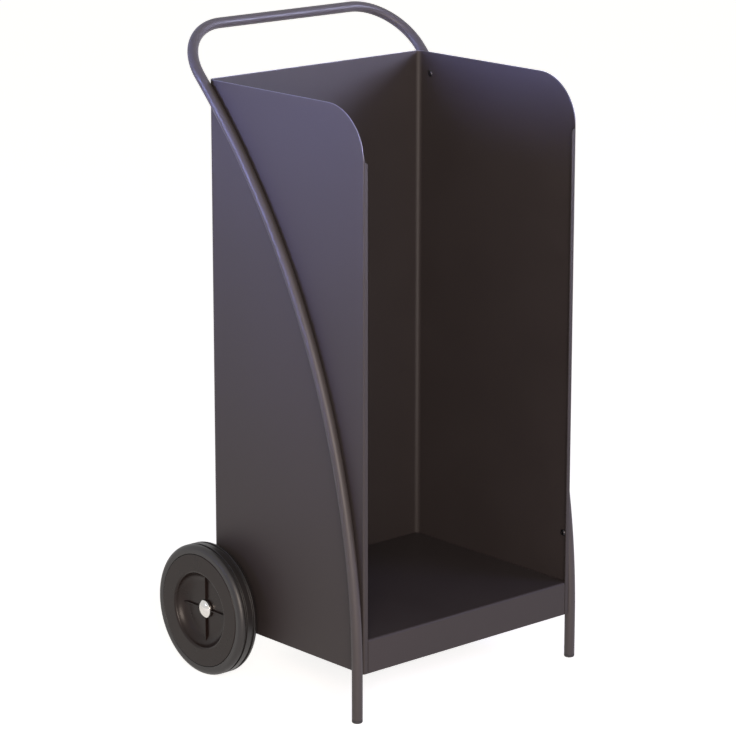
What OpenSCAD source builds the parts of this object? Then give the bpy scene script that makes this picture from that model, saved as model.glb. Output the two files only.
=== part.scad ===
// Fireside log cart: a tall folded-steel bin, open at the front and top, held by one bent
// round tube that makes both front legs, both side stays and the push handle, on two wheels.
// +Z is up, +Y points to the rear, +X is to the right as seen from the open front.
// The origin lies on the floor, under the middle of the whole cart.

/* [Bin] */
// Outer width of the bin, across both side walls
bin_width = 415; // [300:5:520]
// Outer depth of the bin, front lips to back wall
bin_depth = 341; // [280:1:420]
// Height of the bin's walls, lower edge to top edge
bin_height = 823; // [600:1:1000]
// Height of the axle above the walls' lower edge
axle_rise = 28; // [24:1:32]
// Thickness of the steel sheet
sheet = 1.5; // [1:0.25:2.5]
// Inside radius of the upright folds between the back and side walls
fold_r = 8; // [3:0.5:10]
// Inside radius of the upright folds between the side walls and the front lips
lip_fold_r = 1; // [0.5:0.25:3]
// Radius of the rounded front top corners of the side walls
corner_r = 76; // [20:1:90]
// Width of the lips turned in along the front edges, from the outer face
lip_width = 8.5; // [7.75:0.25:14]
// How far the front lips stand in front of the legs' centre line
bin_lead = 5; // [0:0.5:7]

/* [Floor] */
// Height of the apron folded down along the front of the floor
apron_height = 51; // [47:1:70]
// Inside radius of the fold between floor and apron
apron_fold_r = 2; // [1:0.5:3]
// Height of the flanges folded down at the sides and rear of the floor
flange_height = 12; // [8:1:14]

/* [Frame tube] */
// Outside diameter of the bent tube
tube_d = 16; // [14:0.5:20]
// Wall thickness of the bent tube
tube_wall = 1.5; // [1:0.25:2]
// Height at which the straight leg runs over into the long bend
arc_start = 68; // [50:1:110]
// How far the end of the long bend lies behind the back wall
arc_past_rear = 8; // [4:0.5:20]
// How far the end of the long bend lies above the bin's top edge
arc_past_top = 4; // [0:0.5:20]
// Centre-line radius of the two handle bends
handle_bend_r = 88; // [50:1:110]

/* [Feet] */
// Height of the head of the plug in each leg's end
foot_height = 5; // [4:0.5:10]
// Radius of the foot's lower edge
foot_edge_r = 2.5; // [1:0.5:3]
// Length of the foot's shank inside the tube
foot_shank = 16; // [10:1:25]

/* [Wheels] */
// Outside diameter of the tyre
tyre_d = 200; // [180:1:220]
// Width of the tyre
tyre_width = 34; // [30:1:44]
// Depth of the tyre's rubber, from the rim to the tread
tyre_depth = 14; // [12:0.5:20]
// Radius of the tyre's shoulders
shoulder_r = 8; // [5:0.5:10]
// Width of each tread groove
groove_width = 4; // [3:0.5:5]
// Depth of each tread groove
groove_depth = 3; // [2:0.5:4]
// Distance of each tread groove from the middle of the tread
groove_offset = 6.5; // [4:0.5:7]
// Wall thickness of the moulded rim
rim_wall = 3; // [2.5:0.25:4]
// Width of the flat ring round the recess in the rim's outer face
face_ring = 28; // [20:1:36]
// Depth of the rim's web below the outer face
web_depth = 18; // [15:0.5:19]
// How far the recess wall leans in from its mouth to the web
recess_taper = 6; // [0:0.5:10]
// Outside diameter of the rim's hub
hub_d = 34; // [30:1:40]
// Length of the hub
hub_length = 28; // [24:0.5:32]
// Number of ribs on each side of the web
rib_count = 4; // [4:1:12]
// Thickness of the ribs
rib_thick = 2.5; // [2:0.25:4]
// Height of the ribs in front of the web
front_rib = 3.5; // [2:0.5:8]
// How far the ribs behind the web stop short of the rim's inner edge
rib_drop = 7; // [4:0.5:10]
// Distance of the axle in front of the bin's back wall
axle_inset = 23; // [20:1:60]

/* [Axle] */
// Diameter of the axle
axle_d = 12; // [10:0.5:14]
// Outside diameter of the plain sleeve pressed into the hub
sleeve_d = 18; // [16:0.5:22]
// Length of the spacer between wall and hub
spacer_length = 5; // [3:0.5:12]
// Outside diameter of the spacer
spacer_d = 22; // [18:0.5:28]
// Outside diameter of the washer between hub and cap
washer_d = 24; // [20:0.5:28]
// Thickness of that washer
washer_thick = 1.5; // [1:0.25:2.5]
// Diameter of the domed cap on the axle's end
cap_d = 28; // [22:0.5:30]
// Height of the domed cap
cap_height = 8; // [6.5:0.5:9]
// Height of the cap's straight side, below its dome
cap_side = 3; // [1:0.5:4]
// Wall thickness at the top of the cap
cap_wall = 1.5; // [1:0.25:2]

/* [Screws] */
// Thread diameter of the screws that hold the walls to the tube
screw_d = 5; // [4:0.5:6]
// Head diameter of those screws
screw_head_d = 10; // [9:0.5:12]
// Head height of those screws
screw_head = 2.6; // [2:0.2:4]
// Distance of the top screw below the bin's top edge
screw_top_drop = 33; // [25:1:60]
// Distance of the bottom screw above the bin's floor
screw_low_rise = 75; // [70:1:130]
// Number of screws in each side wall
screw_count = 2; // [2:1:5]

/* [Clearances] */
// Running clearance between axle and wheel sleeve, on the radius
run_clear = 0.05; // [0.02:0.01:0.1]
// Clearance of pushed-in and pressed-on pieces, on the radius
seat_clear = 0.05; // [0.02:0.01:0.1]
// Clearance between rim and tyre, on the radius
tyre_clear = 0.3; // [0.2:0.05:0.5]
// Gap between the turning hub and the pieces at its ends
end_gap = 0.3; // [0.2:0.05:0.6]
// Gap between the apron's ends and the lips
apron_gap = 0.3; // [0.2:0.1:1]
// Gap between the front folds and the floor's notched corners
notch_gap = 1.5; // [0.5:0.25:4]

/* [Hidden] */
$fn = 96;

// Frame tube, measured from the legs' centre line
tube_r = tube_d / 2;
bore_r = tube_r - tube_wall;
leg_x = bin_width / 2 + tube_r;
axle_z = tyre_d / 2;
bin_low = axle_z - axle_rise;
bin_top = bin_low + bin_height;
arc_run = bin_depth - bin_lead + arc_past_rear;
arc_rise = bin_top + arc_past_top - arc_start;
// The long bend starts upright and ends at the point given by its run and its rise
arc_r = (arc_run * arc_run + arc_rise * arc_rise) / (2 * arc_run);
arc_angle = atan2(arc_rise, arc_r - arc_run);
handle_run = arc_run + handle_bend_r * sin(arc_angle);

// Places along the cart's depth, with the middle of its whole depth at zero, to the nearest
// hundredth of a millimetre so that faces drawn from either end meet exactly
wheel_run = bin_depth - bin_lead - axle_inset;
rear_reach = max(wheel_run + tyre_d / 2, handle_run + tube_r);
leg_y = round((tube_r - rear_reach) * 50) / 100;
bin_front = leg_y - bin_lead;
bin_rear = bin_front + bin_depth;
axle_y = leg_y + wheel_run;

// Sheet metal
wall_x = bin_width / 2;
inner_x = wall_x - sheet;
fold_out = fold_r + sheet;
lip_fold_out = lip_fold_r + sheet;
floor_top = bin_low + apron_height;
lip_inner = wall_x - lip_width;
apron_x = lip_inner - apron_gap;
apron_fold_out = apron_fold_r + sheet;

// Pieces along the axle, from the wall outwards
axle_r = axle_d / 2;
hub_start = wall_x + spacer_length + end_gap;
hub_end = hub_start + hub_length;
washer_start = hub_end + end_gap;
cap_start = washer_start + washer_thick;
axle_end = cap_start + cap_height - cap_wall - end_gap;
cap_bore_end = axle_end + end_gap;
rim_face = hub_end + web_depth - rim_wall;
tyre_mid = rim_face - tyre_width / 2;
rim_r = tyre_d / 2 - tyre_depth;
recess_r = rim_r - face_ring;
rim_bore_r = sleeve_d / 2 + seat_clear;
key_width = tyre_width / 3;
key_depth = rim_wall / 2;

// Screws, spread evenly in height between the lowest and the highest
screw_low = floor_top + screw_low_rise;
screw_high = bin_top - screw_top_drop;
screw_r = screw_d / 2;
screw_heights = [for (i = [0 : screw_count - 1])
    screw_low + (screw_high - screw_low) * i / (screw_count - 1)];

// Small overlap that lets a cutter pass right through a face
cut = 1;

// How far the tube's centre line lies behind the legs at height z
function tube_run(z) = z <= arc_start ? 0
    : arc_r - sqrt(arc_r * arc_r - (z - arc_start) * (z - arc_start));

module at_left() mirror([1, 0, 0]) children();

// Turns a round piece drawn along +Z so that it lies along +X on the axle's line
module on_axle(x) translate([x, axle_y, axle_z]) rotate([0, 90, 0]) children();

module ring(r_out, r_in, length) {
    difference() {
        cylinder(r = r_out, h = length);
        translate([0, 0, -cut]) cylinder(r = r_in, h = length + 2 * cut);
    }
}

// --- Bin ---------------------------------------------------------------------------------

// Plan of the bin, drawn in by the given inset, with its own front and rear corner radii
module bin_plan(inset, r_front, r_rear) {
    half = wall_x - inset;
    front = bin_front + inset;
    rear = bin_rear - inset;
    translate([-half, front + r_front]) square([2 * half, rear - front - r_front - r_rear]);
    translate([r_front - half, front]) square([2 * (half - r_front), bin_depth / 2]);
    translate([r_rear - half, rear - bin_depth / 2]) square([2 * (half - r_rear), bin_depth / 2]);
    for (side = [-1, 1]) {
        translate([side * (half - r_front), front + r_front]) circle(r_front);
        translate([side * (half - r_rear), rear - r_rear]) circle(r_rear);
    }
}

module space_inside_walls() {
    bin_plan(sheet, lip_fold_r, fold_r);
}

// Plan of the folded sheet with its front lips
module wall_plan() {
    difference() {
        bin_plan(0, lip_fold_out, fold_out);
        space_inside_walls();
        translate([-lip_inner, bin_front - cut]) square([2 * lip_inner, sheet + 2 * cut]);
    }
}

// Side view of what the rounded front top corners take away
module corner_cutter() {
    side = corner_r + cut;
    translate([-wall_x - cut, bin_front - cut, bin_top - corner_r])
        difference() {
            cube([bin_width + 2 * cut, side, side]);
            translate([-cut, side, 0]) rotate([0, 90, 0])
                cylinder(r = corner_r, h = bin_width + 4 * cut, $fn = 160);
        }
}

module screw_holes(r) {
    for (z = screw_heights)
        translate([-wall_x - cut, leg_y + tube_run(z), z]) rotate([0, 90, 0])
            cylinder(r = r, h = bin_width + 2 * cut, $fn = 48);
}

module bin_shell() {
    color("#4a474f") difference() {
        translate([0, 0, bin_low]) linear_extrude(bin_height) wall_plan();
        corner_cutter();
        screw_holes(screw_r + seat_clear);
        on_axle(-wall_x - cut) cylinder(r = axle_r + seat_clear, h = bin_width + 2 * cut);
    }
}

// Floor sheet: it rests between the walls on flanges folded down against them
module floor_tray() {
    plate_front = bin_front + max(lip_fold_out, apron_fold_out) + notch_gap;
    corner = fold_out;
    flange_drop = floor_top - flange_height;
    color("#433f45") union() {
        // Plate that fills the space between the walls, notched behind the lips
        translate([0, 0, floor_top - sheet]) linear_extrude(sheet) difference() {
            space_inside_walls();
            translate([-wall_x, bin_front]) square([bin_width, plate_front - bin_front]);
        }
        // Apron, its rounded fold and the neck between the lips, as one side view
        translate([-apron_x, bin_front, bin_low]) rotate([90, 0, 90]) linear_extrude(2 * apron_x)
            union() {
                square([sheet, apron_height - apron_fold_out]);
                translate([apron_fold_out, apron_height - apron_fold_out]) intersection() {
                    difference() {
                        circle(apron_fold_out);
                        circle(apron_fold_r);
                    }
                    translate([-apron_fold_out, 0]) square(apron_fold_out);
                }
                translate([apron_fold_out, apron_height - sheet])
                    square([plate_front + cut - bin_front - apron_fold_out, sheet]);
            }
        // Side and rear flanges
        for (x = [-inner_x, inner_x - sheet])
            translate([x, plate_front, flange_drop])
                cube([sheet, bin_rear - sheet - corner - plate_front, flange_height]);
        translate([-inner_x + corner, bin_rear - 2 * sheet, flange_drop])
            cube([2 * (inner_x - corner), sheet, flange_height]);
    }
}

// --- Frame tube --------------------------------------------------------------------------

module tube_section() {
    difference() {
        circle(tube_r, $fn = 64);
        circle(bore_r, $fn = 64);
    }
}

// Straight leg and long bend, drilled for the wall screws
module side_tube() {
    color("#57545c") difference() {
        union() {
            translate([leg_x, leg_y, foot_height]) rotate([0, 0, -90])
                linear_extrude(arc_start - foot_height) tube_section();
            translate([leg_x, leg_y + arc_r, arc_start]) rotate([90, 0, -90])
                rotate_extrude(angle = arc_angle, $fn = 720)
                    translate([arc_r, 0]) tube_section();
        }
        for (z = screw_heights)
            translate([wall_x - cut, leg_y + tube_run(z), z]) rotate([0, 90, 0])
                cylinder(r = screw_r + seat_clear, h = tube_r, $fn = 48);
    }
}

// Both handle bends and the bar, drawn flat and then laid along the end of the long bends
module handle_bow() {
    bar_x = leg_x - handle_bend_r;
    color("#66646b") translate([0, leg_y + arc_run, arc_start + arc_rise])
        rotate([90 - arc_angle, 0, 0]) union() {
            for (side = [0, 1]) mirror([side, 0, 0]) translate([bar_x, 0, 0])
                rotate_extrude(angle = 90, $fn = 192)
                    translate([handle_bend_r, 0]) tube_section();
            translate([-bar_x, handle_bend_r, 0]) rotate([0, 90, 0])
                linear_extrude(2 * bar_x) tube_section();
        }
}

// Plug in the end of a leg, with a rounded lower edge
module foot() {
    flat_r = tube_r - foot_edge_r;
    color("#1d1c1f") translate([leg_x, leg_y, 0]) union() {
        rotate_extrude($fn = 64) {
            square([flat_r, foot_height]);
            translate([0, foot_edge_r]) square([tube_r, foot_height - foot_edge_r]);
            intersection() {
                translate([flat_r, foot_edge_r]) circle(foot_edge_r, $fn = 48);
                square([tube_r, foot_height]);
            }
        }
        cylinder(r = bore_r - seat_clear, h = foot_height + foot_shank, $fn = 64);
    }
}

// Pan-headed screws that go through the wall into the tube, heads inside the bin
module wall_screws() {
    shank = sheet + tube_wall + 2 * screw_r;
    color("#2c2a2e") for (z = screw_heights)
        translate([inner_x, leg_y + tube_run(z), z]) rotate([0, 90, 0]) {
            cylinder(r = screw_r, h = shank, $fn = 48);
            difference() {
                translate([0, 0, -screw_head]) cylinder(r = screw_head_d / 2, h = screw_head, $fn = 48);
                translate([0, 0, -screw_head - cut])
                    cylinder(r = screw_head_d / 5, h = screw_head / 2 + cut, $fn = 6);
            }
        }
}

// --- Axle and wheels ---------------------------------------------------------------------

module axle_rod() {
    color("#8d8b8d") on_axle(-axle_end) cylinder(r = axle_r, h = 2 * axle_end);
}

module spacer() {
    color("#26252a") on_axle(wall_x) ring(spacer_d / 2, axle_r + seat_clear, spacer_length);
}

module hub_sleeve() {
    color("#d8d6cf") on_axle(hub_start) ring(sleeve_d / 2, axle_r + run_clear, hub_length);
}

module washer() {
    color("#a9a9ab") on_axle(washer_start) ring(washer_d / 2, axle_r + seat_clear, washer_thick);
}

// Domed cap pushed over the axle's end
module axle_cap() {
    rise = cap_height - cap_side;
    dome_r = (cap_d * cap_d / 4 + rise * rise) / (2 * rise);
    color("#d9dadc") on_axle(cap_start) rotate_extrude($fn = 96) difference() {
        intersection() {
            translate([0, cap_height - dome_r]) circle(dome_r, $fn = 128);
            square([cap_d / 2, cap_height + cut]);
        }
        translate([-cut, -cut])
            square([axle_r + seat_clear + cut, cap_bore_end - cap_start + cut]);
    }
}

// Flat ribs on one side of the web, evenly spread, between two radii
module ribs(z0, z1, r0, r1) {
    for (i = [0 : rib_count - 1]) rotate([0, 0, 360 * i / rib_count])
        translate([r0, -rib_thick / 2, z0]) cube([r1 - r0, rib_thick, z1 - z0]);
}

// Moulded rim, drawn along +Z with the outer face at the top
module rim_solid() {
    back = rim_face - tyre_width;
    web_top = rim_face - web_depth + rim_wall;
    web_low = web_top - rim_wall;
    mouth = recess_r;
    seat = recess_r - recess_taper;
    hub_r = hub_d / 2;
    difference() {
        union() {
            // Barrel, outer face ring, leaning recess wall and web in one section
            rotate_extrude($fn = 160) polygon([
                [hub_r - cut, web_low], [seat + rim_wall, web_low], [mouth + rim_wall, rim_face - rim_wall],
                [rim_r - rim_wall, rim_face - rim_wall], [rim_r - rim_wall, back], [rim_r, back],
                [rim_r, rim_face], [mouth, rim_face], [seat, web_top], [hub_r - cut, web_top]]);
            translate([0, 0, hub_start]) cylinder(r = hub_r, h = hub_length);
            // Ribs in front of the web, from hub to recess wall
            ribs(web_top - cut, web_top + front_rib, hub_r - cut, seat + cut);
            // Ribs behind the web, from hub to barrel
            ribs(back + rib_drop, web_low + cut, hub_r - cut, rim_r - rim_wall + cut);
        }
        translate([0, 0, hub_start - cut]) cylinder(r = rim_bore_r, h = hub_length + 2 * cut);
        // Groove that keeps the tyre on the barrel
        translate([0, 0, tyre_mid - key_width / 2])
            ring(rim_r + cut, rim_r - key_depth, key_width, $fn = 160);
    }
}

module rim() {
    color("#2b2a2e") on_axle(0) rim_solid();
}

// Tyre section: flat sides, round shoulders, two grooves and the key that sits in the rim
module tyre_section() {
    half = tyre_width / 2;
    inner = rim_r + tyre_clear;
    outer = tyre_d / 2;
    difference() {
        union() {
            intersection() {
                translate([inner, -half]) square([outer - inner, tyre_width]);
                union() {
                    translate([0, -half]) square([outer - shoulder_r, tyre_width]);
                    translate([0, shoulder_r - half])
                        square([outer, tyre_width - 2 * shoulder_r]);
                    for (side = [-1, 1])
                        translate([outer - shoulder_r, side * (half - shoulder_r)])
                            circle(shoulder_r);
                }
            }
            translate([rim_r - key_depth + tyre_clear, tyre_clear - key_width / 2])
                square([2 * key_depth, key_width - 2 * tyre_clear]);
        }
        for (side = [-1, 1])
            translate([outer - groove_depth, side * groove_offset - groove_width / 2])
                square([groove_depth + cut, groove_width]);
    }
}

module tyre() {
    color("#232226") on_axle(tyre_mid) rotate_extrude($fn = 160) tyre_section();
}

bin_shell();
floor_tray();
at_left() side_tube();  // left_side_tube
side_tube();  // right_side_tube
handle_bow();
at_left() foot();  // left_foot
foot();  // right_foot
at_left() wall_screws();  // left_wall_screws
wall_screws();  // right_wall_screws
axle_rod();
at_left() spacer();  // left_spacer
spacer();  // right_spacer
at_left() hub_sleeve();  // left_hub_sleeve
hub_sleeve();  // right_hub_sleeve
at_left() rim();  // left_rim
rim();  // right_rim
at_left() tyre();  // left_tyre
tyre();  // right_tyre
at_left() washer();  // left_washer
washer();  // right_washer
at_left() axle_cap();  // left_axle_cap
axle_cap();  // right_axle_cap
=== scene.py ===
import math

import bmesh
import bpy
from mathutils import Matrix, Vector


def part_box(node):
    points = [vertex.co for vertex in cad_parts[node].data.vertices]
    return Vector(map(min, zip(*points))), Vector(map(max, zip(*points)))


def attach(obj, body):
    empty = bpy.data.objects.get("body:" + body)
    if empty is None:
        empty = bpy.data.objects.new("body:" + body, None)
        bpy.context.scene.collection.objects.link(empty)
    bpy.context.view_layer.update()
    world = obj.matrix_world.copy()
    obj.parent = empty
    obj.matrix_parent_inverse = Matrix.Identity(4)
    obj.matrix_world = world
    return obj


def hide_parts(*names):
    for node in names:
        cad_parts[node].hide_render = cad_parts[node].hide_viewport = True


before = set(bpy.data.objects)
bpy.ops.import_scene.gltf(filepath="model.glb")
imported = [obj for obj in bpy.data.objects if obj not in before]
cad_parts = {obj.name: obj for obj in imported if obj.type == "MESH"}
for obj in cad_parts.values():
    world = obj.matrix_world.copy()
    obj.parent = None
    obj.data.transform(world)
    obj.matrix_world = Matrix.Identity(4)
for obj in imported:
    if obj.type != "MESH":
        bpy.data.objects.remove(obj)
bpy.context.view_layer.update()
mm = 0.001

# --- Camera ------------------------------------------------------------------------------
# A long lens, a little above the cart and to the left of its open front, so that the
# outside of the left wall and the inside of the right one both show.
view_round = math.radians(-41.52)
view_above = math.radians(14.39)
view_distance = 4.832
aim = Vector((0, 17 * mm, 449 * mm))
towards_camera = Vector((math.sin(view_round) * math.cos(view_above),
                         -math.cos(view_round) * math.cos(view_above),
                         math.sin(view_above)))
camera = bpy.data.objects.new("camera", bpy.data.cameras.new("camera"))
camera.data.sensor_width = 36
camera.data.lens = 157.6
camera.location = aim + towards_camera * view_distance
camera.rotation_euler = (-towards_camera).to_track_quat("-Z", "Y").to_euler()
bpy.context.scene.collection.objects.link(camera)
bpy.context.scene.camera = camera

# --- Bin: folded sheet -------------------------------------------------------------------
# One blank of 1.5 mm mild steel, cut with round front top corners and folded on a press
# brake into two walls, a back and two narrow front lips. Its cut edges are eased by the
# powder coat, which is satin anthracite with a fine orange peel.
sheet = 1.5 * mm
back_fold = 9.5 * mm
lip_fold = 2.5 * mm
corner_radius = 76 * mm
lip_width = 8.5 * mm
lip_corner = 6 * mm
eased_edge = 0.6 * mm
# A painted highlight along the walls' cut top edges: full near the edge, gone at its width
# below it, and faded out towards the lips.
edge_highlight_full = 0.5 * mm
edge_highlight_width = 1.2 * mm
edge_highlight_start = 8 * mm
shell_low, shell_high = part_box("bin_shell")


def linear(hex_code):
    """An sRGB hex colour as linear red, green, blue and alpha."""
    channels = [int(hex_code[i:i + 2], 16) / 255 for i in (1, 3, 5)]
    return tuple(c / 12.92 if c <= 0.04045 else ((c + 0.055) / 1.055) ** 2.4
                 for c in channels) + (1,)


def add_node(owner, kind, inputs, **settings):
    """Adds a node; an input that is another node's socket is linked, any other is a value."""
    node = owner.node_tree.nodes.new(kind)
    for name, value in settings.items():
        setattr(node, name, value)
    for name, value in inputs.items():
        if isinstance(value, bpy.types.NodeSocket):
            owner.node_tree.links.new(value, node.inputs[name])
        else:
            node.inputs[name].default_value = value
    return node


def empty_material(name):
    material = bpy.data.materials.new(name)
    material.use_nodes = True
    material.node_tree.nodes.clear()
    return material


def powder_coat(name, thin, thick, gloss, painted_highlight=None):
    """Satin polyester powder, sprayed and baked: a soft broad sheen over an orange peel of
    2 mm bumps, a colour that drifts a little where the coat is thicker, and where a mask is
    given a painted highlight: a lighter, metallic colour for the light that edges catch."""
    coat = empty_material(name)
    place = add_node(coat, "ShaderNodeTexCoord", {}).outputs["Object"]
    drift = add_node(coat, "ShaderNodeTexNoise",
                     {"Vector": place, "Scale": 1 / (120 * mm), "Detail": 3})
    peel = add_node(coat, "ShaderNodeTexNoise",
                    {"Vector": place, "Scale": 1 / (2 * mm), "Detail": 2})
    grit = add_node(coat, "ShaderNodeTexNoise",
                    {"Vector": place, "Scale": 1 / (0.5 * mm), "Detail": 1})
    colour = add_node(coat, "ShaderNodeMix",
                      {0: drift.outputs["Fac"], 6: linear(thin), 7: linear(thick)},
                      data_type="RGBA")
    sheen = add_node(coat, "ShaderNodeMapRange",
                     {"Value": drift.outputs["Fac"], "From Min": 0.3, "From Max": 0.7,
                      "To Min": gloss - 0.03, "To Max": gloss + 0.03})
    fine = add_node(coat, "ShaderNodeBump",
                    {"Height": grit.outputs["Fac"], "Strength": 0.12, "Distance": 0.05 * mm})
    bumps = add_node(coat, "ShaderNodeBump",
                     {"Height": peel.outputs["Fac"], "Strength": 0.25, "Distance": 0.08 * mm,
                      "Normal": fine.outputs["Normal"]})
    paint = add_node(coat, "ShaderNodeBsdfPrincipled",
                     {"Base Color": colour.outputs[2], "IOR": 1.52, "Specular IOR Level": 0.27,
                      "Roughness": sheen.outputs["Result"], "Normal": bumps.outputs["Normal"]})
    if painted_highlight:
        highlight_mask = painted_highlight(coat, place)
        # Painted highlight: where the mask is 1, the colour turns lighter and metallic.
        bright = add_node(coat, "ShaderNodeMix",
                          {0: highlight_mask, 6: colour.outputs[2], 7: linear("#6C6A71")},
                          data_type="RGBA")
        coat.node_tree.links.new(bright.outputs[2], paint.inputs["Base Color"])
        coat.node_tree.links.new(highlight_mask, paint.inputs["Metallic"])
    add_node(coat, "ShaderNodeOutputMaterial", {"Surface": paint.outputs["BSDF"]})
    return coat


def round_corners(corners, closed=False, off_arc=0.01 * mm):
    """The points of an outline of (across, up, radius) corners, with an arc at each radius,
    in flats so short that they stand at most off_arc inside it."""
    points = []
    for i, (x, y, radius) in enumerate(corners):
        at = Vector((x, y))
        if radius == 0 or (not closed and i in (0, len(corners) - 1)):
            points.append(at)
            continue
        before = (Vector(corners[i - 1][:2]) - at).normalized()
        after = (Vector(corners[(i + 1) % len(corners)][:2]) - at).normalized()
        half = before.angle(after) / 2
        centre = at + (before + after).normalized() * radius / math.sin(half)
        spoke = at + before * radius / math.tan(half) - centre
        turn = math.pi - 2 * half
        if before.x * after.y - before.y * after.x > 0:
            turn = -turn
        # A radius hardly larger than off_arc still gets a flat for each 52 degrees
        flat = 2 * math.acos(max(0.9, 1 - off_arc / radius))
        steps = max(2, math.ceil(abs(turn) / flat))
        points += [centre + Matrix.Rotation(turn * k / steps, 2) @ spoke
                   for k in range(steps + 1)]
    return points


def mesh_from(name, faces=(), rings=(), closed=False, weld=0.004 * mm):
    """A mesh of single faces, and of rings of points that are joined one to the next."""
    work = bmesh.new()
    for face in faces:
        work.faces.new([work.verts.new(p) for p in face])
    corners = [[work.verts.new(p) for p in ring] for ring in rings]
    for a, b in zip(corners, corners[1:] + corners[:1] if closed else corners[1:]):
        for k in range(len(a)):
            j = (k + 1) % len(a)
            work.faces.new((a[k], a[j], b[j], b[k]))
    bmesh.ops.remove_doubles(work, verts=work.verts, dist=weld)
    bmesh.ops.recalc_face_normals(work, faces=work.faces)
    mesh = bpy.data.meshes.new(name)
    work.to_mesh(mesh)
    work.free()
    return mesh


def add_piece(mesh, body, nodes, material):
    """Puts a finished mesh in the scene on a body of the frame, in place of CAD nodes."""
    for face in mesh.polygons:
        face.use_smooth = True
    mesh.materials.append(material)
    piece = bpy.data.objects.new(mesh.name, mesh)
    bpy.context.scene.collection.objects.link(piece)
    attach(piece, body)
    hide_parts(*nodes)
    return piece


def ease_edges(piece, width):
    """Rounds the sharp edges, unless the width is 0 because the outline has them rounded,
    and keeps the flats beside rounded edges flat in the light."""
    if width:
        bevel = piece.modifiers.new("eased edges", "BEVEL")
        bevel.width = width
        bevel.segments = 3
        bevel.limit_method = "ANGLE"
        bevel.angle_limit = math.radians(40)
        bevel.use_clamp_overlap = False
    flats = piece.modifiers.new("flat sides", "WEIGHTED_NORMAL")
    flats.weight = 80


def bin_rings():
    """Four corners of the sheet at each place along its folded plan: outside and inside, each
    at the lower edge and at the top edge, which drops in an arc towards the front and in a
    small one towards the lip's free edge."""
    left, front, low = shell_low
    right, rear, top = shell_high
    arc = [(front + corner_radius * (1 - math.cos(math.radians(a))), 0)
           for a in range(18, 91, 3)]
    lip = [(lip_width - lip_corner * (1 - math.cos(math.radians(a))), front, 0)
           for a in range(0, 76, 15)]
    plan = round_corners(
        [(left + way, *place) for way, *place in lip] + [(left, front, lip_fold)]
        + [(left, *place) for place in arc]
        + [(left, rear, back_fold), (right, rear, back_fold)]
        + [(right, *place) for place in arc[::-1]]
        + [(right, front, lip_fold)] + [(right - way, *place) for way, *place in lip[::-1]])
    ways = [(b - a).normalized() for a, b in zip(plan, plan[1:])]

    def top_edge(y):
        ahead = max(0, corner_radius - (y - front))
        return top - corner_radius + math.sqrt(corner_radius ** 2 - ahead ** 2)

    rings = []
    for at, before, after in zip(plan, ways[:1] + ways, ways + ways[-1:]):
        way = (before + after).normalized()
        inner = at + Vector((way.y, -way.x)) * sheet / way.dot(after)
        from_free_edge = abs(at.x) - (right - lip_width)
        short = max(0, lip_corner - from_free_edge) if at.y < front + lip_fold else 0
        height = top_edge(at.y) - lip_corner + math.sqrt(lip_corner ** 2 - short ** 2)
        rings.append([(at.x, at.y, low), (at.x, at.y, height),
                      (inner.x, inner.y, height), (inner.x, inner.y, low)])
    return rings


def painted_edge_highlight(coat, place):
    """1 along the cut top edges and round corners of the walls, where a painted highlight
    stands in for the light they catch, and 0 from the highlight's width below them."""
    centre = (0, shell_low.y + corner_radius, shell_high.z - corner_radius)
    from_centre = add_node(coat, "ShaderNodeVectorMath", {0: place, 1: centre},
                           operation="SUBTRACT")
    in_side_view = add_node(coat, "ShaderNodeVectorMath",
                            {0: from_centre.outputs[0], 1: (0, 1, 1)}, operation="MULTIPLY")
    forward = add_node(coat, "ShaderNodeVectorMath",
                       {0: in_side_view.outputs[0], 1: (0, 0, 1)}, operation="MINIMUM")
    upward = add_node(coat, "ShaderNodeVectorMath",
                      {0: forward.outputs[0], 1: (0, -1, 0)}, operation="MAXIMUM")
    reach = add_node(coat, "ShaderNodeVectorMath", {0: upward.outputs[0]}, operation="LENGTH")
    near = add_node(coat, "ShaderNodeMapRange",
                    {"Value": reach.outputs["Value"], "From Min": corner_radius - edge_highlight_width,
                     "From Max": corner_radius - edge_highlight_full})
    rise = add_node(coat, "ShaderNodeSeparateXYZ", {"Vector": upward.outputs[0]}).outputs["Z"]
    above_lip = add_node(coat, "ShaderNodeMapRange",
                         {"Value": rise, "From Min": 0.0, "From Max": edge_highlight_start})
    return add_node(coat, "ShaderNodeMath",
                    {0: near.outputs["Result"], 1: above_lip.outputs["Result"]},
                    operation="MULTIPLY").outputs[0]


# The walls carry a painted highlight along their cut top edges and round corners.
wall_coat = powder_coat("satin_powder_coat_walls", "#322D2E", "#383334", 0.50, painted_edge_highlight)
sections = bin_rings()
bin_sheet = add_piece(mesh_from("bin_sheet", [sections[0], sections[-1]], sections), "cart",
                      ["bin_shell"], wall_coat)
ease_edges(bin_sheet, eased_edge)

# --- Floor and apron ---------------------------------------------------------------------
# A second sheet, folded down in front as an apron between the lips, and at the sides and
# rear as flanges that are spot-welded to the walls. Its steel and coat are the bin's.
apron_fold = 3.5 * mm
flange_fold = 2 * mm
flange_height = 12 * mm
lip_gap = 0.3 * mm
notch = 5 * mm
tray_low, tray_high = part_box("floor_tray")


def thicken(piece, thickness):
    """Gives a folded skin its sheet thickness, inwards from its outer face."""
    solid = piece.modifiers.new("sheet", "SOLIDIFY")
    solid.thickness = thickness
    solid.offset = -1
    solid.use_even_offset = True


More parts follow.
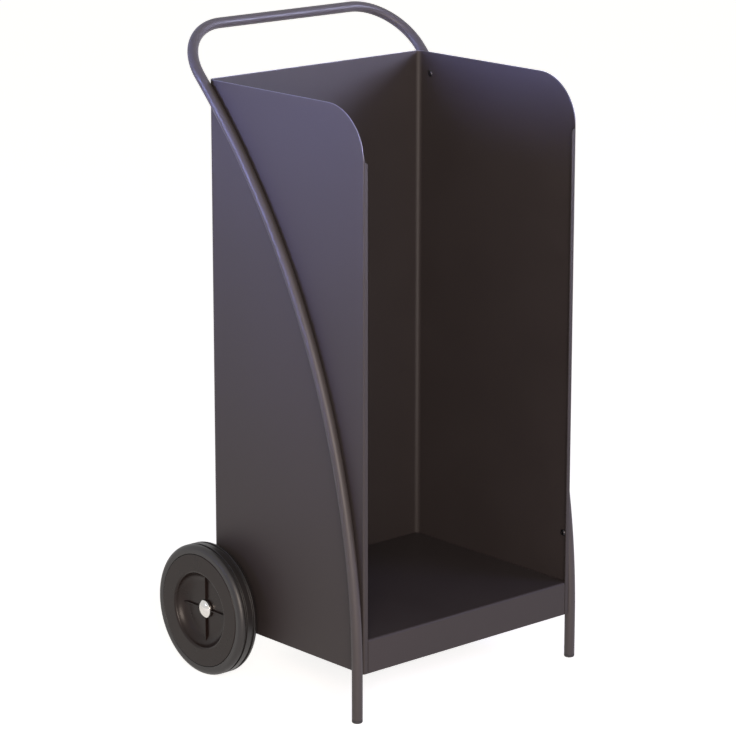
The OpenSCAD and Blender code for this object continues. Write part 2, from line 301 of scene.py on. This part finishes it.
def tray_faces():
    """The outer skin: the apron with its fold, the plate, and the side and rear flanges."""
    front, low = tray_low.y, tray_low.z
    right, rear, top = tray_high
    apron_right = shell_high.x - lip_width - lip_gap
    behind_lips = front + notch
    before_corner = rear - back_fold
    width = right - back_fold
    foot = top - flange_height
    apron = round_corners([(front, low, 0), (front, top, apron_fold), (behind_lips, top, 0)])
    faces = [((-apron_right, a.x, a.y), (apron_right, a.x, a.y),
              (apron_right, b.x, b.y), (-apron_right, b.x, b.y))
             for a, b in zip(apron, apron[1:])]
    # The plate: its flat ends where the flanges bend down, but its rear corners fill the folds
    inner = right - flange_fold
    plate_end = rear - flange_fold
    half = [(apron_right, behind_lips, 0), (inner, behind_lips, 0), (inner, before_corner, 0),
            (right, before_corner, 0), (right, rear, back_fold - sheet), (width, rear, 0),
            (width, plate_end, 0)]
    plate = round_corners(half + [(-x, y, radius) for x, y, radius in half[::-1]], closed=True)
    faces.append([(p.x, p.y, top) for p in plate])
    flange = round_corners([(0, top, 0), (flange_fold, top, flange_fold),
                            (flange_fold, foot, 0)])[1:]
    for a, b in zip(flange, flange[1:]):
        for side in (-1, 1):
            faces.append([(side * (inner + p.x), y, p.y) for p, y in (
                (a, behind_lips), (b, behind_lips), (b, before_corner), (a, before_corner))])
        faces.append([(x, plate_end + p.x, p.y) for p, x in (
            (a, -width), (b, -width), (b, width), (a, width))])
    return faces


floor_coat = powder_coat("satin_powder_coat_floor", "#322D2E", "#383334", 0.50)
floor_sheet = add_piece(mesh_from("floor_sheet", tray_faces()), "cart", ["floor_tray"],
                        floor_coat)
thicken(floor_sheet, sheet)
ease_edges(floor_sheet, eased_edge)

# --- Frame tube --------------------------------------------------------------------------
# One length of 16 mm steel tube, rolled to the two long bends and then bent twice at the
# top to make the handle. It is coated like the sheet and a little glossier, with painted
# light: its colour is a shade lighter than the sheet's, for the light its round side catches.
# It is screwed to the walls from inside the bin.
tube_radius = 8 * mm
tube_bore = 6.5 * mm
cut_edge = 0.3 * mm
handle_bend = 88 * mm
bend_start = 68 * mm
flats_around = 48
long_bend_steps = 80
handle_bend_steps = 40
leg_low, leg_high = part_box("right_side_tube")
_, bow_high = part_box("handle_bow")
leg_x = leg_high.x - tube_radius
leg_y = leg_low.y + tube_radius
leg_end = leg_low.z
bar_run = bow_high.y - tube_radius - leg_y
bar_rise = bow_high.z - tube_radius - bend_start
# The handle bends stand at right angles to the long bend's end, so that the bar lies at
# radius^2 + handle_bend^2 = (radius - run)^2 + rise^2 from the long bend's centre
long_bend = (bar_run ** 2 + bar_rise ** 2 - handle_bend ** 2) / (2 * bar_run)
sweep = math.atan2(bar_rise, long_bend - bar_run) - math.atan2(handle_bend, long_bend)


def frame_path():
    """The tube's centre line from the left foot over the handle to the right foot."""
    side = [Vector((leg_x, leg_y, leg_end + cut_edge)),
            Vector((leg_x, leg_y, (leg_end + bend_start) / 2))]
    for k in range(long_bend_steps + 1):
        a = sweep * k / long_bend_steps
        side.append(Vector((leg_x, leg_y + long_bend * (1 - math.cos(a)),
                            bend_start + long_bend * math.sin(a))))
    end = side[-1]
    along = Vector((0, math.sin(sweep), math.cos(sweep)))
    for k in range(1, handle_bend_steps + 1):
        a = math.radians(90) * k / handle_bend_steps
        side.append(end + along * handle_bend * math.sin(a)
                    - Vector((handle_bend * (1 - math.cos(a)), 0, 0)))
    return [Vector((-p.x, p.y, p.z)) for p in side] + side[::-1]


def tube_rings():
    """Rings along the path, whose first one is handed on from ring to ring without a twist."""
    path = frame_path()
    around = [2 * math.pi * k / flats_around for k in range(flats_around)]
    rings = []
    across = Vector((1, 0, 0))
    for i, at in enumerate(path):
        ahead = (path[min(i + 1, len(path) - 1)] - path[max(i - 1, 0)]).normalized()
        across = (across - ahead * across.dot(ahead)).normalized()
        other = ahead.cross(across)
        rings.append([at + tube_radius * (across * math.cos(t) + other * math.sin(t))
                      for t in around])
    # The sawn ends, with their edges taken off and the bore left open
    ends = []
    for ring, at in ((rings[0], path[0]), (rings[-1], path[-1])):
        face = Vector((at.x, at.y, leg_end))
        ends.append([[face + (p - at) * scale for p in ring]
                     for scale in (tube_bore / tube_radius, 1 - cut_edge / tube_radius)])
    return ends[0] + rings + ends[1][::-1]


# Painted lighter than the sheet's coat, for the light on the tube's round side.
tube_coat = powder_coat("satin_powder_coat_tube", "#423E40", "#4A4648", 0.42)
frame_tube = add_piece(mesh_from("frame_tube", rings=tube_rings()), "cart",
                       ["left_side_tube", "right_side_tube", "handle_bow"],
                       tube_coat)
ease_edges(frame_tube, 0)

# --- Feet --------------------------------------------------------------------------------
# A moulded polyethylene plug in each leg's end, matt black, its rounded lower edge a little
# dusty from the floor. Its shank is pushed into the tube.
foot_round = 2.5 * mm
foot_height = 5 * mm
foot_edge = 0.3 * mm
shank_radius = 6.45 * mm
shank_top = 21 * mm
shank_round = 1 * mm


def turned(outline, place, around=96):
    """Rings of a turned piece; place gives a point from its way along, way out and angle."""
    return [[place(p.x, p.y, 2 * math.pi * k / around) for k in range(around)]
            for p in outline]


def moulded_polyethylene():
    """Matt black polyethylene: a fine spark-eroded grain, and dust on the lowest 4 mm."""
    plastic = empty_material("moulded_polyethylene")
    place = add_node(plastic, "ShaderNodeTexCoord", {}).outputs["Object"]
    height = add_node(plastic, "ShaderNodeSeparateXYZ", {"Vector": place}).outputs["Z"]
    grain = add_node(plastic, "ShaderNodeTexNoise",
                     {"Vector": place, "Scale": 1 / (0.8 * mm), "Detail": 4})
    near_floor = add_node(plastic, "ShaderNodeMapRange",
                          {"Value": height, "From Min": 0.0, "From Max": 4 * mm,
                           "To Min": 0.5, "To Max": 0.0})
    dust = add_node(plastic, "ShaderNodeMath",
                    {0: near_floor.outputs["Result"], 1: grain.outputs["Fac"]},
                    operation="MULTIPLY")
    colour = add_node(plastic, "ShaderNodeMix",
                      {0: dust.outputs[0], 6: linear("#232125"), 7: linear("#5A5650")},
                      data_type="RGBA")
    bumps = add_node(plastic, "ShaderNodeBump",
                     {"Height": grain.outputs["Fac"], "Strength": 0.2, "Distance": 0.05 * mm})
    skin = add_node(plastic, "ShaderNodeBsdfPrincipled",
                    {"Base Color": colour.outputs[2], "IOR": 1.51, "Roughness": 0.55,
                     "Normal": bumps.outputs["Normal"]})
    add_node(plastic, "ShaderNodeOutputMaterial", {"Surface": skin.outputs["BSDF"]})
    return plastic


foot_plastic = moulded_polyethylene()
foot_outline = round_corners([(0, 0, 0), (0, tube_radius, foot_round),
                              (foot_height, tube_radius, foot_edge),
                              (foot_height, shank_radius, 0),
                              (shank_top, shank_radius, shank_round), (shank_top, 0, 0)])
for name, side in (("left", -1), ("right", 1)):
    def upright(along, out, angle):
        return side * leg_x + out * math.cos(angle), leg_y + out * math.sin(angle), along

    plug = mesh_from(name + "_foot_plug", rings=turned(foot_outline, upright, flats_around))
    ease_edges(add_piece(plug, "cart", [name + "_foot"], foot_plastic), 0)

# --- Wall screws -------------------------------------------------------------------------
# Button-headed M5 screws with a hexagon socket, driven from inside the bin into the tube.
# They are black-oxide steel, which keeps some of the metal's sheen under a thin film.
screw_heights = (198 * mm, 862 * mm)
screw_radius = 2.5 * mm
screw_reach = 8 * mm
screw_tip = 0.6 * mm
head_radius = 5 * mm
head_edge = 0.2 * mm
head_side = 0.9 * mm
head_side_round = 0.8 * mm
head_height = 2.6 * mm
crown_radius = 3.3 * mm
crown_round = 1.6 * mm
socket_mouth = 2.2 * mm
socket_flat = 1.73 * mm
socket_depth = 1.3 * mm
socket_edge = 0.12 * mm
inner_wall = shell_high.x - sheet


def black_oxide():
    """Blackened steel: a thin dark film that keeps the metal's sheen, with 0.6 mm mottling."""
    steel = empty_material("black_oxide_steel")
    place = add_node(steel, "ShaderNodeTexCoord", {}).outputs["Object"]
    marks = add_node(steel, "ShaderNodeTexNoise",
                     {"Vector": place, "Scale": 1 / (0.6 * mm), "Detail": 3})
    colour = add_node(steel, "ShaderNodeMix",
                      {0: marks.outputs["Fac"], 6: linear("#2F2D31"), 7: linear("#4A484B")},
                      data_type="RGBA")
    rough = add_node(steel, "ShaderNodeMapRange",
                     {"Value": marks.outputs["Fac"], "To Min": 0.3, "To Max": 0.45})
    film = add_node(steel, "ShaderNodeBsdfPrincipled",
                    {"Base Color": colour.outputs[2], "Metallic": 1.0,
                     "Roughness": rough.outputs["Result"]})
    add_node(steel, "ShaderNodeOutputMaterial", {"Surface": film.outputs["BSDF"]})
    return steel


def screw_rings(side, height):
    """A screw from its tip in the tube to its socket, whose rings follow a hexagon."""
    y = leg_y + long_bend - math.sqrt(long_bend ** 2 - (height - bend_start) ** 2)
    sixth = math.radians(60)

    def place(along, out, angle):
        return (side * (inner_wall - along), y + out * math.cos(angle),
                height + out * math.sin(angle))

    def hexagon(along):
        return [place(along,
                      socket_flat / math.cos((angle + sixth / 2) % sixth - sixth / 2), angle)
                for angle in (2 * math.pi * k / flats_around for k in range(flats_around))]

    outline = round_corners([
        (-screw_reach, 0, 0), (-screw_reach, screw_radius, screw_tip), (0, screw_radius, 0),
        (0, head_radius, head_edge), (head_side, head_radius, head_side_round),
        (head_height, crown_radius, crown_round), (head_height, socket_mouth, 0)])
    socket_floor = [place(head_height - socket_depth, 0, 0)] * flats_around
    return turned(outline, place, flats_around) + [
        hexagon(head_height), hexagon(head_height - socket_depth), socket_floor]


screw_steel = black_oxide()
for name, side in (("left", -1), ("right", 1)):
    for number, height in enumerate(screw_heights, 1):
        screw = mesh_from(f"{name}_wall_screw_{number}", rings=screw_rings(side, height))
        ease_edges(add_piece(screw, "cart", [name + "_wall_screws"],
                             screw_steel), socket_edge)

# --- Axle --------------------------------------------------------------------------------
# A 12 mm bright zinc-plated steel rod through both walls, with a moulded nylon sleeve in
# each hub that turns on it and a black nylon spacer between wall and hub.
axle_radius = 6 * mm
axle_edge = 0.8 * mm
running_bore = 6.05 * mm
side_play = 0.3 * mm
spacer_length = 5 * mm
spacer_radius = 11 * mm
spacer_edge = 0.5 * mm
hub_length = 28 * mm
sleeve_radius = 9 * mm
sleeve_edge = 0.4 * mm
axle_low, axle_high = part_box("axle_rod")
axle_y = (axle_low.y + axle_high.y) / 2
axle_z = (axle_low.z + axle_high.z) / 2
spacer_end = shell_high.x + spacer_length
hub_start = spacer_end + side_play
hub_end = hub_start + hub_length


def zinc_plate():
    """Bright zinc on drawn steel: a cool metal whose roughness runs in fine lines along the
    rod, which are drawn 1 mm apart so that they show, under a bloom of 9 mm patches."""
    zinc = empty_material("bright_zinc_plate")
    place = add_node(zinc, "ShaderNodeTexCoord", {}).outputs["Object"]
    lengthways = add_node(zinc, "ShaderNodeMapping", {"Vector": place, "Scale": (0.02, 1, 1)})
    lines = add_node(zinc, "ShaderNodeTexNoise",
                     {"Vector": lengthways.outputs["Vector"], "Scale": 1 / (1 * mm),
                      "Detail": 2})
    bloom = add_node(zinc, "ShaderNodeTexNoise",
                     {"Vector": place, "Scale": 1 / (9 * mm), "Detail": 4})
    colour = add_node(zinc, "ShaderNodeMix",
                      {0: bloom.outputs["Fac"], 6: linear("#A9ABAF"), 7: linear("#C9CBCD")},
                      data_type="RGBA")
    rough = add_node(zinc, "ShaderNodeMapRange",
                     {"Value": lines.outputs["Fac"], "To Min": 0.22, "To Max": 0.42})
    metal = add_node(zinc, "ShaderNodeBsdfPrincipled",
                     {"Base Color": colour.outputs[2], "Metallic": 1.0,
                      "Roughness": rough.outputs["Result"]})
    add_node(zinc, "ShaderNodeOutputMaterial", {"Surface": metal.outputs["BSDF"]})
    return zinc


def moulded_nylon(name, dark, pale, rough):
    """Nylon 6: a waxy skin whose gloss and colour drift in flow clouds of 3 mm."""
    nylon = empty_material(name)
    place = add_node(nylon, "ShaderNodeTexCoord", {}).outputs["Object"]
    flow = add_node(nylon, "ShaderNodeTexNoise",
                    {"Vector": place, "Scale": 1 / (3 * mm), "Detail": 3})
    colour = add_node(nylon, "ShaderNodeMix",
                      {0: flow.outputs["Fac"], 6: linear(dark), 7: linear(pale)},
                      data_type="RGBA")
    gloss = add_node(nylon, "ShaderNodeMapRange",
                     {"Value": flow.outputs["Fac"], "To Min": rough - 0.06,
                      "To Max": rough + 0.06})
    skin = add_node(nylon, "ShaderNodeBsdfPrincipled",
                    {"Base Color": colour.outputs[2], "IOR": 1.53,
                     "Roughness": gloss.outputs["Result"]})
    add_node(nylon, "ShaderNodeOutputMaterial", {"Surface": skin.outputs["BSDF"]})
    return nylon


def axle_place(side):
    """How a point of a turned piece on the axle's line is placed, on one side of the cart."""
    def place(along, out, angle):
        return side * along, axle_y + out * math.cos(angle), axle_z + out * math.sin(angle)
    return place


def ring_outline(start, end, inner, outer, edge):
    """A flat ring with eased edges, as (way along, way out) points."""
    return round_corners([(start, inner, edge), (start, outer, edge), (end, outer, edge),
                          (end, inner, edge)], closed=True)


zinc = zinc_plate()
spacer_nylon = moulded_nylon("moulded_nylon_black", "#222125", "#2C2A2E", 0.42)
sleeve_nylon = moulded_nylon("moulded_nylon_natural", "#CFCBBE", "#DEDBD1", 0.38)
rod = round_corners([(-axle_high.x, 0, 0), (-axle_high.x, axle_radius, axle_edge),
                     (axle_high.x, axle_radius, axle_edge), (axle_high.x, 0, 0)])
ease_edges(add_piece(mesh_from("axle", rings=turned(rod, axle_place(1), 64)), "cart",
                     ["axle_rod"], zinc), 0)
for name, side in (("left", -1), ("right", 1)):
    spacer = mesh_from(name + "_axle_spacer", rings=turned(
        ring_outline(shell_high.x, spacer_end, running_bore, spacer_radius, spacer_edge),
        axle_place(side), 64), closed=True)
    ease_edges(add_piece(spacer, "cart", [name + "_spacer"],
                         spacer_nylon), 0)
    sleeve = mesh_from(name + "_wheel_sleeve", rings=turned(
        ring_outline(hub_start, hub_end, running_bore, sleeve_radius, sleeve_edge),
        axle_place(side), 64), closed=True)
    ease_edges(add_piece(sleeve, name + "_wheel", [name + "_hub_sleeve"],
                         sleeve_nylon), 0)

# --- Washers and caps --------------------------------------------------------------------
# A zinc-plated washer outside each hub, and a domed push-on cap of bright nickel-plated
# spring steel that grips the axle's end and keeps the wheel on.
washer_start = hub_end + side_play
washer_height = 1.5 * mm
washer_radius = 12 * mm
washer_edge = 0.25 * mm
cap_start = washer_start + washer_height
cap_radius = 14 * mm
cap_height = 8 * mm
cap_side = 3 * mm
cap_edge = 0.3 * mm
cap_seat = 6.5 * mm
dome_steps = 24


def nickel_plate():
    """Bright nickel over pressed steel: nearly a mirror, slightly warm, with a 4 mm mottle
    from the draw and faint hair scratches that blur it by turns."""
    nickel = empty_material("bright_nickel_plate")
    place = add_node(nickel, "ShaderNodeTexCoord", {}).outputs["Object"]
    draw = add_node(nickel, "ShaderNodeTexNoise",
                    {"Vector": place, "Scale": 1 / (4 * mm), "Detail": 3})
    hairs = add_node(nickel, "ShaderNodeTexNoise",
                     {"Vector": place, "Scale": 1 / (0.4 * mm), "Detail": 2})
    colour = add_node(nickel, "ShaderNodeMix",
                      {0: draw.outputs["Fac"], 6: linear("#C4C2BE"), 7: linear("#DAD8D4")},
                      data_type="RGBA")
    rough = add_node(nickel, "ShaderNodeMapRange",
                     {"Value": hairs.outputs["Fac"], "To Min": 0.08, "To Max": 0.2})
    metal = add_node(nickel, "ShaderNodeBsdfPrincipled",
                     {"Base Color": colour.outputs[2], "Metallic": 1.0,
                      "Roughness": rough.outputs["Result"]})
    add_node(nickel, "ShaderNodeOutputMaterial", {"Surface": metal.outputs["BSDF"]})
    return nickel


def cap_outline():
    """The axle's seat, a short straight side, and then a dome from its edge to the top."""
    height = cap_height - cap_side
    dome = (cap_radius ** 2 + height ** 2) / (2 * height)
    half = math.asin(cap_radius / dome)
    middle = cap_start + cap_height - dome
    arc = [Vector((middle + dome * math.cos(half * k / dome_steps),
                   dome * math.sin(half * k / dome_steps)))
           for k in range(dome_steps, -1, -1)]
    return round_corners([
        (cap_start + cap_seat, 0, 0), (cap_start + cap_seat, running_bore, 0),
        (cap_start, running_bore, 0), (cap_start, cap_radius, cap_edge),
        (cap_start + cap_side, cap_radius, 0)])[:-1] + arc


nickel = nickel_plate()
for name, side in (("left", -1), ("right", 1)):
    washer = mesh_from(name + "_axle_washer", rings=turned(
        ring_outline(washer_start, cap_start, running_bore, washer_radius, washer_edge),
        axle_place(side)), closed=True)
    ease_edges(add_piece(washer, "cart", [name + "_washer"], zinc), 0)
    cap = mesh_from(name + "_dome_cap", rings=turned(cap_outline(), axle_place(side)))
    ease_edges(add_piece(cap, "cart", [name + "_axle_cap"], nickel), 0)

# --- Wheel rims --------------------------------------------------------------------------
# One injection-moulded polypropylene piece each: barrel, flat face ring, soft-edged bowl,
# web and hub, stiffened by four ribs in front of the web and four behind it.
rim_width = 34 * mm
rim_radius = 86 * mm
rim_wall = 3 * mm
rim_edge = 1.2 * mm
bowl_depth = 15 * mm
mouth_radius = 58 * mm
mouth_round = 4 * mm
bowl_radius = 52 * mm
bowl_round = 18 * mm
back_mouth_round = 3 * mm
web_round = 6 * mm
hub_radius = 17 * mm
hub_round = 1.5 * mm
sleeve_seat = 9.05 * mm
rib_half = 1.25 * mm
rib_draft = 0.25 * mm
rib_root = 2 * mm
rib_edge = 0.4 * mm
rib_count = 4
front_rib = 3.5 * mm
rib_drop = 7 * mm
rim_face = hub_end + bowl_depth
rim_back = rim_face - rim_width


def moulded_polypropylene():
    """Black polypropylene: a slightly waxy half gloss, a faint grain of 1 mm, and flow
    clouds of 25 mm that change its gloss more than its colour."""
    plastic = empty_material("moulded_polypropylene")
    place = add_node(plastic, "ShaderNodeTexCoord", {}).outputs["Object"]
    clouds = add_node(plastic, "ShaderNodeTexNoise",
                      {"Vector": place, "Scale": 1 / (25 * mm), "Detail": 3})
    grain = add_node(plastic, "ShaderNodeTexNoise",
                     {"Vector": place, "Scale": 1 / (1 * mm), "Detail": 2})
    colour = add_node(plastic, "ShaderNodeMix",
                      {0: clouds.outputs["Fac"], 6: linear("#1B1311"), 7: linear("#221917")},
                      data_type="RGBA")
    rough = add_node(plastic, "ShaderNodeMapRange",
                     {"Value": clouds.outputs["Fac"], "From Min": 0.3, "From Max": 0.7,
                      "To Min": 0.26, "To Max": 0.36})
    bumps = add_node(plastic, "ShaderNodeBump",
                     {"Height": grain.outputs["Fac"], "Strength": 0.15,
                      "Distance": 0.04 * mm})
    skin = add_node(plastic, "ShaderNodeBsdfPrincipled",
                    {"Base Color": colour.outputs[2], "IOR": 1.49, "Specular IOR Level": 0.25,
                     "Roughness": rough.outputs["Result"],
                     "Normal": bumps.outputs["Normal"]})
    add_node(plastic, "ShaderNodeOutputMaterial", {"Surface": skin.outputs["BSDF"]})
    return plastic


def rim_outline():
    """The rim's section: web and bowl, face ring, barrel, and the same from behind."""
    web = hub_end - rim_wall
    return round_corners([
        (hub_end, sleeve_seat, sleeve_edge), (hub_end, bowl_radius, bowl_round),
        (rim_face, mouth_radius, mouth_round), (rim_face, rim_radius, rim_edge),
        (rim_back, rim_radius, rim_edge), (rim_back, rim_radius - rim_wall, rim_edge),
        (rim_face - rim_wall, rim_radius - rim_wall, rim_edge),
        (rim_face - rim_wall, mouth_radius + rim_wall, back_mouth_round),
        (web, bowl_radius + rim_wall, web_round), (web, hub_radius, hub_round),
        (hub_start, hub_radius, rim_edge), (hub_start, sleeve_seat, sleeve_edge)], closed=True)


def rib_faces(side, free, reach, number):
    """A rib from the web to its free edge, a closed wedge that thins with the mould's draft."""
    web = hub_end - rim_wall / 2
    turn = Matrix.Rotation(number * 2 * math.pi / rib_count, 3, "X")
    centre = Vector((0, axle_y, axle_z))
    section = [(web, -rib_half), (web, rib_half),
               (free, rib_half - rib_draft), (free, rib_draft - rib_half)]
    inner, outer = [[centre + turn @ Vector((side * x, out, way)) for x, way in section]
                    for out in (hub_radius - rib_root, reach)]
    return [inner, outer[::-1]] + [(inner[k - 1], inner[k], outer[k], outer[k - 1])
                                   for k in range(len(section))]


polypropylene = moulded_polypropylene()
for name, side in (("left", -1), ("right", 1)):
    ribs = []
    for number in range(rib_count):
        ribs += rib_faces(side, hub_end + front_rib, bowl_radius + rim_wall / 2, number)
        ribs += rib_faces(side, rim_back + rib_drop, rim_radius - rim_wall / 2, number)
    rim = mesh_from(name + "_wheel_rim", ribs, turned(rim_outline(), axle_place(side), 128),
                    closed=True)
    ease_edges(add_piece(rim, name + "_wheel", [name + "_rim"],
                         polypropylene), rib_edge)

# --- Tyres -------------------------------------------------------------------------------
# Solid rubber rings, pressed in a mould and stretched over the rims: round shoulders and
# two plain grooves in the tread.
tyre_radius = 100 * mm
tyre_bead = 86.3 * mm
bead_edge = 1.5 * mm
shoulder = 8 * mm
groove_half = 2 * mm
groove_depth = 3 * mm
groove_edge = 0.6 * mm
groove_foot = 0.8 * mm
groove_places = (6.5 * mm, -6.5 * mm)


def moulded_rubber():
    """Black vulcanised rubber: dull, with a fine 0.7 mm grain and a faint grey bloom that
    gathers in patches of about 30 mm."""
    rubber = empty_material("moulded_rubber")
    place = add_node(rubber, "ShaderNodeTexCoord", {}).outputs["Object"]
    bloom = add_node(rubber, "ShaderNodeTexNoise",
                     {"Vector": place, "Scale": 1 / (30 * mm), "Detail": 4})
    grain = add_node(rubber, "ShaderNodeTexNoise",
                     {"Vector": place, "Scale": 1 / (0.7 * mm), "Detail": 3})
    colour = add_node(rubber, "ShaderNodeMix",
                      {0: bloom.outputs["Fac"], 6: linear("#151213"), 7: linear("#1F1C1D")},
                      data_type="RGBA")
    rough = add_node(rubber, "ShaderNodeMapRange",
                     {"Value": bloom.outputs["Fac"], "To Min": 0.38, "To Max": 0.5})
    bumps = add_node(rubber, "ShaderNodeBump",
                     {"Height": grain.outputs["Fac"], "Strength": 0.3, "Distance": 0.06 * mm})
    skin = add_node(rubber, "ShaderNodeBsdfPrincipled",
                    {"Base Color": colour.outputs[2], "IOR": 1.52,
                     "Roughness": rough.outputs["Result"],
                     "Normal": bumps.outputs["Normal"]})
    add_node(rubber, "ShaderNodeOutputMaterial", {"Surface": skin.outputs["BSDF"]})
    return rubber


def tyre_outline():
    """The tyre's section: two beads on the barrel, round shoulders and the grooved tread."""
    middle = (rim_face + rim_back) / 2
    groove_floor = tyre_radius - groove_depth
    corners = [(rim_face, tyre_bead, bead_edge), (rim_face, tyre_radius, shoulder)]
    for at in groove_places:
        start, end = middle + at + groove_half, middle + at - groove_half
        corners += [(start, tyre_radius, groove_edge), (start, groove_floor, groove_foot),
                    (end, groove_floor, groove_foot), (end, tyre_radius, groove_edge)]
    corners += [(rim_back, tyre_radius, shoulder), (rim_back, tyre_bead, bead_edge)]
    return round_corners(corners, closed=True)


rubber = moulded_rubber()
for name, side in (("left", -1), ("right", 1)):
    tyre = mesh_from(name + "_wheel_tyre", rings=turned(tyre_outline(), axle_place(side), 160),
                     closed=True)
    ease_edges(add_piece(tyre, name + "_wheel", [name + "_tyre"], rubber), 0)

# --- Studio: floor, surround and lamps ---------------------------------------------------
# A wide white floor that runs out to a white surround. Two bluish softboxes with grids, one
# at the left and one in front on the right, reach only the upper part of the cart; two
# open softboxes in front light all of it. The lamps themselves are never seen.
floor_reach = 30


def seen_rays(owner):
    """1 where the ray is a camera, glossy or transmission ray, and 0 where it brings light."""
    path = add_node(owner, "ShaderNodeLightPath", {}).outputs
    shiny = add_node(owner, "ShaderNodeMath",
                     {0: path["Is Glossy Ray"], 1: path["Is Transmission Ray"]},
                     operation="MAXIMUM")
    return add_node(owner, "ShaderNodeMath",
                    {0: path["Is Camera Ray"], 1: shiny.outputs[0]},
                    operation="MAXIMUM").outputs[0]


world = bpy.data.worlds.new("studio")
world.use_nodes = True
world.node_tree.nodes.clear()
bpy.context.scene.world = world
soft_light = add_node(world, "ShaderNodeBackground",
                      {"Color": linear("#FFF7E8"), "Strength": 0.28})
surround = add_node(world, "ShaderNodeBackground",
                    {"Color": linear("#FFFFFF"), "Strength": 1.0})
both = add_node(world, "ShaderNodeMixShader",
                {0: seen_rays(world), 1: soft_light.outputs[0], 2: surround.outputs[0]})
add_node(world, "ShaderNodeOutputWorld", {"Surface": both.outputs[0]})

floor_paint = empty_material("white_floor")
matt = add_node(floor_paint, "ShaderNodeBsdfDiffuse", {"Color": linear("#E6E6E6")})
lift = add_node(floor_paint, "ShaderNodeMath", {0: seen_rays(floor_paint), 1: 0.8},
                operation="MULTIPLY")
glow = add_node(floor_paint, "ShaderNodeEmission",
                {"Color": linear("#FFFFFF"), "Strength": lift.outputs[0]})
white = add_node(floor_paint, "ShaderNodeAddShader", {0: matt.outputs[0], 1: glow.outputs[0]})
add_node(floor_paint, "ShaderNodeOutputMaterial", {"Surface": white.outputs[0]})
floor_mesh = mesh_from("studio_floor", [[(x * floor_reach, y * floor_reach, 0) for x, y in (
    (-1, -1), (1, -1), (1, 1), (-1, 1))]])
floor_mesh.materials.append(floor_paint)
floor = bpy.data.objects.new("studio_floor", floor_mesh)
bpy.context.scene.collection.objects.link(floor)

for name, place, target, size, spread, watts, colour in (
        ("left_grid_lamp", (-2.5, 0.6, 1.35), (-0.2, 0.0, 1.3), 1.0, 40, 13.5, "#A9B2FF"),
        ("right_grid_lamp", (1.6, -2.4, 1.7), (0.0, 0.0, 1.25), 1.0, 30, 7.3, "#D5DAFF"),
        ("right_lamp", (1.6, -2.4, 1.7), (0.0, 0.0, 0.7), 1.2, 180, 25, "#A4A4FF"),
        ("left_lamp", (-2.0, -2.6, 1.1), (0.0, 0.0, 0.4), 1.6, 180, 90, "#FFEDDE")):
    lamp = bpy.data.objects.new(name, bpy.data.lights.new(name, "AREA"))
    lamp.data.shape = "SQUARE"
    lamp.data.size = size
    lamp.data.spread = math.radians(spread)
    lamp.data.energy = watts
    lamp.data.color = linear(colour)[:3]
    lamp.location = place
    lamp.rotation_euler = (Vector(target) - Vector(place)).to_track_quat("-Z", "Y").to_euler()
    lamp.visible_camera = False
    bpy.context.scene.collection.objects.link(lamp)
bpy.context.scene.view_settings.view_transform = "Standard"
